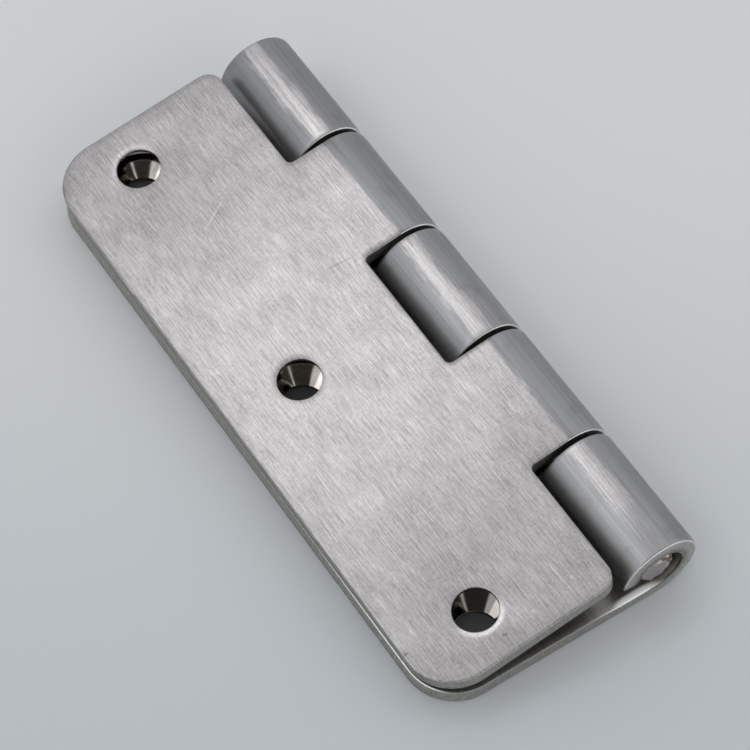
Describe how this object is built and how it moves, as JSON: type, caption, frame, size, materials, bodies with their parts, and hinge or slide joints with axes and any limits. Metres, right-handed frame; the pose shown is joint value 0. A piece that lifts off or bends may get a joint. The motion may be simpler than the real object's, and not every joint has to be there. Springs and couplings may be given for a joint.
{
  "type": "butt hinge",
  "caption": "Plain butt hinge of brushed stainless sheet: flat leaves with round free corners, rolled knuckles and countersunk screw holes, folding on a round pin.",
  "frame": {"origin": "centre of the fixed leaf's middle screw hole, on the outer face that lies on the cabinet", "axes": "+Y along the pin, +Z out of that face into the leaf, +X from the screw holes towards the pin"},
  "size_m": [0.0416, 0.1, 0.012],
  "materials": {
    "leaf_steel": "satin, brushed along the pin, with scratches; knuckles smoother",
    "pin_steel": "plain drawn bar with rough cropped ends"
  },
  "bodies": {
    "fixed": {"fixed_leaf": "leaf_steel", "hinge_pin": "pin_steel"},
    "moving": {"moving_leaf": "leaf_steel"}
  },
  "joints": [
    {"name": "leaf_turn", "type": "hinge", "parent": "fixed", "child": "moving", "pos_m": [0.02385, 0, 0.006], "axis": [0, 1, 0], "range_deg": [0, 279]}
  ]
}
